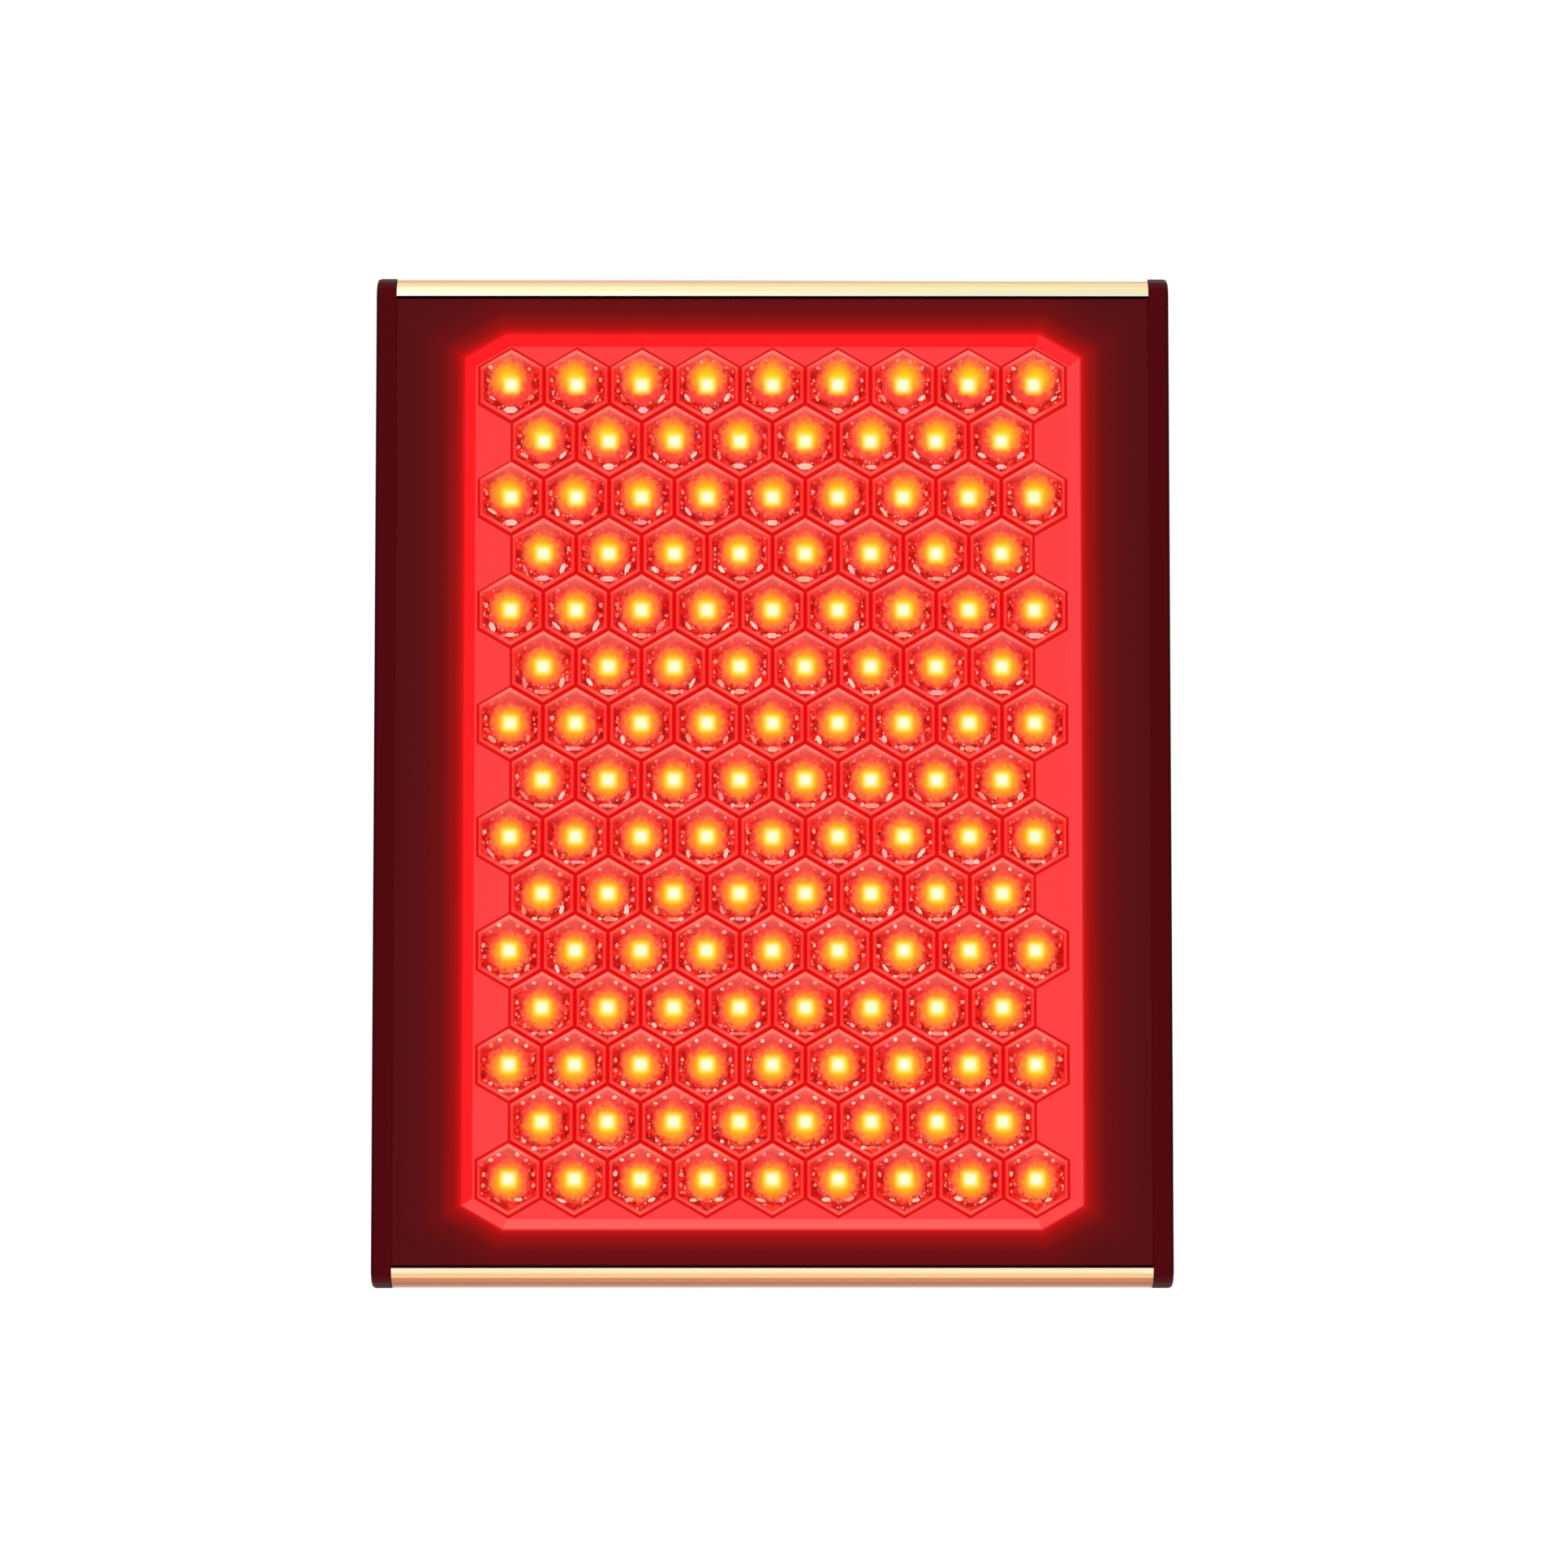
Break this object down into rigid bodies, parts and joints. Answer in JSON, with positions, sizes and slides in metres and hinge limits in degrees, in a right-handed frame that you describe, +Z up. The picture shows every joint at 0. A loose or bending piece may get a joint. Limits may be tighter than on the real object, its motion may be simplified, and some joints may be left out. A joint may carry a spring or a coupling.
{
  "type": "red light therapy panel",
  "caption": "Upright red light therapy panel with a honeycomb lens behind an eight-sided window, gold rails, black end caps, rear fans, rocker switches and a power inlet.",
  "frame": {"origin": "centre of the footprint, on the surface that the panel stands on", "axes": "+Z up along the panel's height, +Y from the lit front to the back, +X to the right as seen from the front"},
  "size_m": [0.242, 0.06, 0.308],
  "materials": {
    "rail": "champagne-gold anodised, satin",
    "end_cap": "black, fine texture",
    "front_cover": "black, satin, lit red by the window",
    "lens": "clear moulding lit red from behind",
    "board": "white solder mask on aluminium",
    "heat_sink": "bare extrusion",
    "rear_cover": "black powder coat",
    "fan": "black moulding",
    "driver_case": "cast, bare",
    "inlet": "black moulding",
    "contact": "nickel plated",
    "rocker": "red, lit, polished",
    "screw": "blackened",
    "brown_sleeve": "brown lead sleeve",
    "blue_sleeve": "blue lead sleeve",
    "green_sleeve": "green lead sleeve with a yellow stripe",
    "black_sleeve": "black lead sleeve"
  },
  "bodies": {
    "housing": {"top_rail": "rail", "bottom_rail": "rail", "left_end_cap": "end_cap", "right_end_cap": "end_cap", "front_cover": "front_cover", "honeycomb_lens": "lens", "led_board": "board", "heat_sink": "heat_sink", "rear_cover": "rear_cover", "left_fan_frame": "fan", "right_fan_frame": "fan", "left_led_driver": "driver_case", "right_led_driver": "driver_case", "power_inlet": "inlet", "inlet_live_pin": "contact", "inlet_neutral_pin": "contact", "inlet_earth_pin": "contact", "left_switch_bezel": "inlet", "right_switch_bezel": "inlet", "left_cap_screw_1": "screw", "left_cap_screw_2": "screw", "left_cap_screw_3": "screw", "left_cap_screw_4": "screw", "right_cap_screw_1": "screw", "right_cap_screw_2": "screw", "right_cap_screw_3": "screw", "right_cap_screw_4": "screw", "rear_cover_screw_1": "screw", "rear_cover_screw_2": "screw", "rear_cover_screw_3": "screw", "rear_cover_screw_4": "screw", "live_lead": "brown_sleeve", "live_link_lead": "brown_sleeve", "left_switched_lead": "brown_sleeve", "right_switched_lead": "brown_sleeve", "neutral_lead": "blue_sleeve", "neutral_link_lead": "blue_sleeve", "earth_lead": "green_sleeve", "left_board_lead": "black_sleeve", "right_board_lead": "black_sleeve", "left_fan_lead": "black_sleeve", "right_fan_lead": "black_sleeve"},
    "left_rotor": {"left_fan_rotor": "fan"},
    "right_rotor": {"right_fan_rotor": "fan"},
    "left_rocker": {"left_switch_rocker": "rocker"},
    "right_rocker": {"right_switch_rocker": "rocker"}
  },
  "joints": [
    {"name": "left_fan_spin", "type": "hinge", "parent": "housing", "child": "left_rotor", "pos_m": [0.052, 0.0152, 0.205], "axis": [0, 1, 0], "continuous": true},
    {"name": "right_fan_spin", "type": "hinge", "parent": "housing", "child": "right_rotor", "pos_m": [-0.052, 0.0152, 0.205], "axis": [0, 1, 0], "continuous": true},
    {"name": "left_switch_tilt", "type": "hinge", "parent": "housing", "child": "left_rocker", "pos_m": [0.045, 0.0241, 0.034], "axis": [-1, 0, 0], "range_deg": [0, 18]},
    {"name": "right_switch_tilt", "type": "hinge", "parent": "housing", "child": "right_rocker", "pos_m": [-0.045, 0.0241, 0.034], "axis": [-1, 0, 0], "range_deg": [0, 18]}
  ]
}
